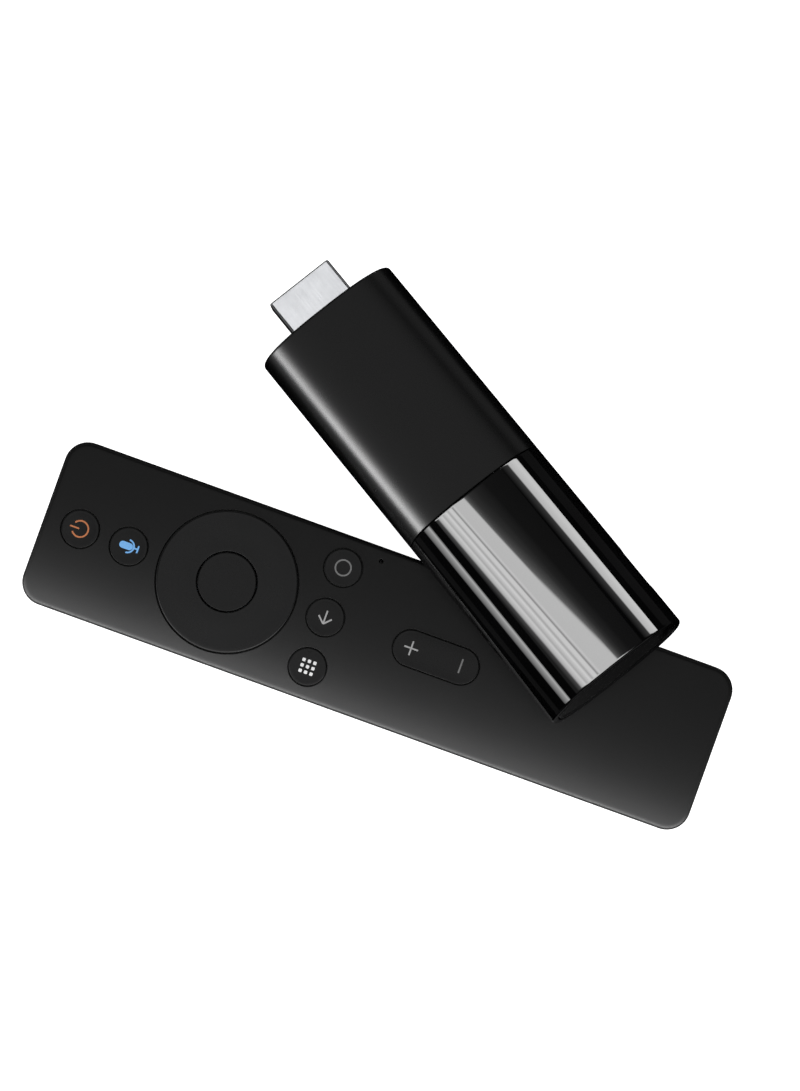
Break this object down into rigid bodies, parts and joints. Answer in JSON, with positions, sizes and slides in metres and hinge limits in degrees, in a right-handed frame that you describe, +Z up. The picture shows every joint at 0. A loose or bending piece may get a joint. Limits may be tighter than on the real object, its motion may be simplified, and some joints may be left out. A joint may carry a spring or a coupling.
{
  "type": "streaming media player",
  "caption": "Streaming stick with a video plug, matte front and gloss tail, leaning on its slim voice remote with a round navigation ring and a volume rocker.",
  "frame": {"origin": "centre of the remote's flat underside, which lies on the table", "axes": "+X along the remote away from its power button, +Y across the remote to the side that the stick is on, +Z up out of the keys"},
  "size_m": [0.132, 0.0816, 0.0346],
  "materials": {
    "remote_shell": "fine matte moulded",
    "remote_key": "fine matte moulded",
    "matte_shell": "satin",
    "gloss_shell": "piano black",
    "carrier_plastic": "moulded",
    "silicone": "soft",
    "circuit_board": "solder mask",
    "chip_package": "moulded epoxy",
    "plug_steel": "nickel-plated steel",
    "nickel": "nickel plate",
    "aluminium": "rolled",
    "gold_contact": "gold plate",
    "insulator": "moulded",
    "thermal_pad": "soft",
    "ferrite": "sintered",
    "ceramic": "fired",
    "clear_lens": "clear polycarbonate",
    "battery_label": "plain printed sleeve"
  },
  "bodies": {
    "remote": {"remote_top_cover": "remote_shell", "remote_bottom_case": "remote_shell", "remote_circuit_board": "circuit_board", "dome_switch_sheet": "nickel", "keypad_mat": "silicone", "microphone": "nickel", "radio_chip": "chip_package", "remote_crystal": "plug_steel", "remote_capacitor": "ceramic", "board_screw_1": "plug_steel", "board_screw_2": "plug_steel", "board_screw_3": "plug_steel", "board_screw_4": "plug_steel", "negative_contact": "nickel", "positive_contact": "nickel", "bridge_contact": "nickel", "battery_1": "battery_label", "battery_2": "battery_label"},
    "stick": {"matte_sleeve": "matte_shell", "gloss_sleeve": "gloss_shell", "plug_end_cap": "matte_shell", "tail_end_cap": "gloss_shell", "carrier_frame": "carrier_plastic", "video_plug_shell": "plug_steel", "video_plug_core": "insulator", "video_contacts_upper": "gold_contact", "video_contacts_lower": "gold_contact", "stick_circuit_board": "circuit_board", "shield_can": "nickel", "processor_chip": "chip_package", "memory_chip": "chip_package", "processor_thermal_pad": "thermal_pad", "spreader_thermal_pad": "thermal_pad", "heat_spreader": "aluminium", "flash_chip": "chip_package", "wireless_module": "nickel", "stick_crystal": "plug_steel", "power_inductor": "ferrite", "power_capacitor": "ceramic", "status_led": "clear_lens", "wireless_antenna": "gold_contact", "power_socket_shell": "plug_steel", "power_socket_tongue": "insulator", "status_light_pipe": "clear_lens"},
    "battery_door": {"battery_door": "remote_shell"},
    "dpad_pad": {"dpad_pad": "silicone"},
    "dpad_ring": {"dpad_ring": "remote_key"},
    "ok_button": {"ok_button": "remote_key"},
    "volume_rocker": {"volume_rocker": "remote_key"},
    "power_button": {"power_button": "remote_key"},
    "voice_button": {"voice_button": "remote_key"},
    "home_button": {"home_button": "remote_key"},
    "back_button": {"back_button": "remote_key"},
    "apps_button": {"apps_button": "remote_key"}
  },
  "joints": [
    {"name": "power_press", "type": "slide", "parent": "remote", "child": "power_button", "axis": [0, 0, -1], "range_m": [0, 0.0004], "stiffness_N_per_m": 400, "springref_m": -0.0005},
    {"name": "voice_press", "type": "slide", "parent": "remote", "child": "voice_button", "axis": [0, 0, -1], "range_m": [0, 0.0004], "stiffness_N_per_m": 400, "springref_m": -0.0005},
    {"name": "home_press", "type": "slide", "parent": "remote", "child": "home_button", "axis": [0, 0, -1], "range_m": [0, 0.0004], "stiffness_N_per_m": 400, "springref_m": -0.0005},
    {"name": "back_press", "type": "slide", "parent": "remote", "child": "back_button", "axis": [0, 0, -1], "range_m": [0, 0.0004], "stiffness_N_per_m": 400, "springref_m": -0.0005},
    {"name": "apps_press", "type": "slide", "parent": "remote", "child": "apps_button", "axis": [0, 0, -1], "range_m": [0, 0.0004], "stiffness_N_per_m": 400, "springref_m": -0.0005},
    {"name": "ok_press", "type": "slide", "parent": "remote", "child": "ok_button", "axis": [0, 0, -1], "range_m": [0, 0.0004], "stiffness_N_per_m": 400, "springref_m": -0.0005},
    {"name": "dpad_tilt_along", "type": "hinge", "parent": "remote", "child": "dpad_pad", "pos_m": [-0.0298, 0, 0.0114], "axis": [0, 1, 0], "range_deg": [-2, 2], "stiffness_Nm_per_rad": 0.05},
    {"name": "dpad_tilt_across", "type": "hinge", "parent": "dpad_pad", "child": "dpad_ring", "pos_m": [-0.0298, 0, 0.0114], "axis": [1, 0, 0], "range_deg": [-2, 2], "stiffness_Nm_per_rad": 0.05},
    {"name": "volume_rock", "type": "hinge", "parent": "remote", "child": "volume_rocker", "pos_m": [0.0116, 0, 0.0124], "axis": [0, 1, 0], "range_deg": [-3, 3], "stiffness_Nm_per_rad": 0.05},
    {"name": "battery_door_slide", "type": "slide", "parent": "remote", "child": "battery_door", "axis": [1, 0, 0], "range_m": [0, 0.06]},
    {"name": "stick_lift", "type": "slide", "parent": "remote", "child": "stick", "axis": [0, 0, 1], "range_m": [0, 0.06]}
  ]
}
